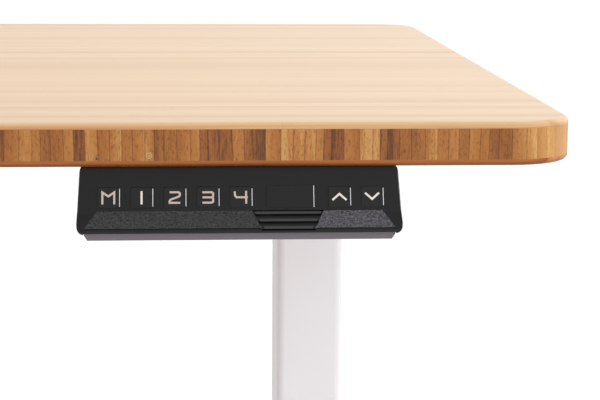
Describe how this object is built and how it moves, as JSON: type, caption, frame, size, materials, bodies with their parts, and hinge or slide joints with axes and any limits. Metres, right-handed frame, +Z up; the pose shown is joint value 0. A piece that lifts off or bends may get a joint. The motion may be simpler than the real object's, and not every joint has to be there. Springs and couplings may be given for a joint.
{
  "type": "height adjustable standing desk",
  "caption": "Electric sit-stand desk: laminated bamboo top with rounded corners, white steel frame on telescopic legs, and a black push-button handset under the front edge.",
  "frame": {"origin": "on the floor under the middle of the desk's footprint, the handset's lip included", "axes": "+X to the right of a user who sits at the desk, +Y away from the user, +Z up"},
  "size_m": [1.524, 0.7754, 0.74],
  "materials": {
    "bamboo_face": "pale laminated bamboo with a clear matt lacquer",
    "bamboo_core": "crosswise bamboo strips seen on edge, natural to carbonised brown",
    "bamboo_back": "carbonised bamboo with a clear matt lacquer",
    "white_powder_coat": "fine satin powder coat on steel",
    "glide_plastic": "moulded acetal, slightly greasy",
    "screw_steel": "rolled steel lifting screw, greased",
    "nut_bronze": "machined bronze",
    "cast_housing": "die-cast, as cast",
    "motor_black": "semi-gloss black paint on steel",
    "zinc_screw": "bright zinc plating",
    "black_screw": "black oxide",
    "handset_black": "fine spark-eroded texture on black ABS",
    "handset_grey": "smooth dark grey ABS",
    "key_black": "smooth black ABS with printed pale legends",
    "display_smoke": "smoked polished acrylic",
    "display_epoxy": "seven-segment display block",
    "circuit_green": "solder mask on glass-epoxy board",
    "box_black": "textured black ABS",
    "leveller_steel": "zinc-plated steel stud and hexagon on a pad with a black rubber sole"
  },
  "bodies": {
    "base": {"foot_left": "white_powder_coat", "foot_right": "white_powder_coat", "foot_bolts": "black_screw", "inner_tube_left": "white_powder_coat", "inner_tube_right": "white_powder_coat", "inner_tube_heads": "glide_plastic", "inner_nuts": "nut_bronze"},
    "top": {"desktop_face_ply": "bamboo_face", "desktop_core": "bamboo_core", "desktop_back_ply": "bamboo_back", "desktop_screws": "zinc_screw", "outer_tube_left": "white_powder_coat", "outer_tube_right": "white_powder_coat", "outer_tube_bushes": "glide_plastic", "leg_head_left": "white_powder_coat", "leg_head_right": "white_powder_coat", "side_bracket_left": "white_powder_coat", "side_bracket_right": "white_powder_coat", "crossbar_front": "white_powder_coat", "crossbar_back": "white_powder_coat", "frame_bolts": "black_screw", "gearbox_left": "cast_housing", "gearbox_right": "cast_housing", "motor_left": "motor_black", "motor_right": "motor_black", "control_box_lid": "box_black", "control_box_case": "box_black", "handset_face": "handset_black", "handset_base": "handset_grey", "handset_board": "circuit_green", "handset_screws": "black_screw", "display_module": "display_epoxy", "display_window": "display_smoke"},
    "middle_left": {"middle_tube_left": "white_powder_coat", "middle_tube_bush_left": "glide_plastic", "middle_tube_head_left": "glide_plastic", "drive_nut_left": "nut_bronze"},
    "drive_left": {"drive_screw_left": "screw_steel", "worm_wheel_left": "nut_bronze"},
    "hollow_left": {"hollow_screw_left": "screw_steel"},
    "rotor_left": {"motor_rotor_left": "screw_steel"},
    "middle_right": {"middle_tube_right": "white_powder_coat", "middle_tube_bush_right": "glide_plastic", "middle_tube_head_right": "glide_plastic", "drive_nut_right": "nut_bronze"},
    "drive_right": {"drive_screw_right": "screw_steel", "worm_wheel_right": "nut_bronze"},
    "hollow_right": {"hollow_screw_right": "screw_steel"},
    "rotor_right": {"motor_rotor_right": "screw_steel"},
    "leveller_front_left": {"leveller_front_left": "leveller_steel"},
    "leveller_back_left": {"leveller_back_left": "leveller_steel"},
    "leveller_front_right": {"leveller_front_right": "leveller_steel"},
    "leveller_back_right": {"leveller_back_right": "leveller_steel"},
    "key_memory": {"key_memory": "key_black"},
    "key_1": {"key_1": "key_black"},
    "key_2": {"key_2": "key_black"},
    "key_3": {"key_3": "key_black"},
    "key_4": {"key_4": "key_black"},
    "key_up": {"key_up": "key_black"},
    "key_down": {"key_down": "key_black"}
  },
  "joints": [
    {"name": "lift", "type": "slide", "parent": "base", "child": "top", "axis": [0, 0, 1], "range_m": [-0.12, 0.53]},
    {"name": "middle_left_slide", "type": "slide", "parent": "base", "child": "middle_left", "axis": [0, 0, 1], "range_m": [-0.06, 0.265]},
    {"name": "drive_left_spin", "type": "hinge", "parent": "top", "child": "drive_left", "pos_m": [-0.6325, 0.00675, 0.6921], "axis": [0, 0, 1], "continuous": true},
    {"name": "hollow_left_spin", "type": "hinge", "parent": "middle_left", "child": "hollow_left", "pos_m": [-0.6325, 0.00675, 0.5], "axis": [0, 0, 1], "continuous": true},
    {"name": "rotor_left_spin", "type": "hinge", "parent": "top", "child": "rotor_left", "pos_m": [-0.6325, 0.02845, 0.6921], "axis": [1, 0, 0], "continuous": true},
    {"name": "middle_right_slide", "type": "slide", "parent": "base", "child": "middle_right", "axis": [0, 0, 1], "range_m": [-0.06, 0.265]},
    {"name": "drive_right_spin", "type": "hinge", "parent": "top", "child": "drive_right", "pos_m": [0.6325, 0.00675, 0.6921], "axis": [0, 0, 1], "continuous": true},
    {"name": "hollow_right_spin", "type": "hinge", "parent": "middle_right", "child": "hollow_right", "pos_m": [0.6325, 0.00675, 0.5], "axis": [0, 0, 1], "continuous": true},
    {"name": "rotor_right_spin", "type": "hinge", "parent": "top", "child": "rotor_right", "pos_m": [0.6325, 0.02845, 0.6921], "axis": [1, 0, 0], "continuous": true},
    {"name": "leveller_front_left_slide", "type": "slide", "parent": "base", "child": "leveller_front_left", "axis": [0, 0, -1], "range_m": [0, 0.01]},
    {"name": "leveller_back_left_slide", "type": "slide", "parent": "base", "child": "leveller_back_left", "axis": [0, 0, -1], "range_m": [0, 0.01]},
    {"name": "leveller_front_right_slide", "type": "slide", "parent": "base", "child": "leveller_front_right", "axis": [0, 0, -1], "range_m": [0, 0.01]},
    {"name": "leveller_back_right_slide", "type": "slide", "parent": "base", "child": "leveller_back_right", "axis": [0, 0, -1], "range_m": [0, 0.01]},
    {"name": "key_memory_press", "type": "slide", "parent": "top", "child": "key_memory", "axis": [0, 0.936, -0.352], "range_m": [0, 0.0006], "stiffness_N_per_m": 600, "springref_m": -0.002},
    {"name": "key_1_press", "type": "slide", "parent": "top", "child": "key_1", "axis": [0, 0.936, -0.352], "range_m": [0, 0.0006], "stiffness_N_per_m": 600, "springref_m": -0.002},
    {"name": "key_2_press", "type": "slide", "parent": "top", "child": "key_2", "axis": [0, 0.936, -0.352], "range_m": [0, 0.0006], "stiffness_N_per_m": 600, "springref_m": -0.002},
    {"name": "key_3_press", "type": "slide", "parent": "top", "child": "key_3", "axis": [0, 0.936, -0.352], "range_m": [0, 0.0006], "stiffness_N_per_m": 600, "springref_m": -0.002},
    {"name": "key_4_press", "type": "slide", "parent": "top", "child": "key_4", "axis": [0, 0.936, -0.352], "range_m": [0, 0.0006], "stiffness_N_per_m": 600, "springref_m": -0.002},
    {"name": "key_up_press", "type": "slide", "parent": "top", "child": "key_up", "axis": [0, 0.936, -0.352], "range_m": [0, 0.0006], "stiffness_N_per_m": 600, "springref_m": -0.002},
    {"name": "key_down_press", "type": "slide", "parent": "top", "child": "key_down", "axis": [0, 0.936, -0.352], "range_m": [0, 0.0006], "stiffness_N_per_m": 600, "springref_m": -0.002}
  ],
  "couplings": [
    {"joint": "middle_left_slide", "follows": "lift", "ratio": 0.5},
    {"joint": "drive_left_spin", "follows": "lift", "rad_per_m": 523.6},
    {"joint": "hollow_left_spin", "follows": "lift", "rad_per_m": 523.6},
    {"joint": "rotor_left_spin", "follows": "lift", "rad_per_m": 4188.8},
    {"joint": "middle_right_slide", "follows": "lift", "ratio": 0.5},
    {"joint": "drive_right_spin", "follows": "lift", "rad_per_m": 523.6},
    {"joint": "hollow_right_spin", "follows": "lift", "rad_per_m": 523.6},
    {"joint": "rotor_right_spin", "follows": "lift", "rad_per_m": 4188.8}
  ]
}
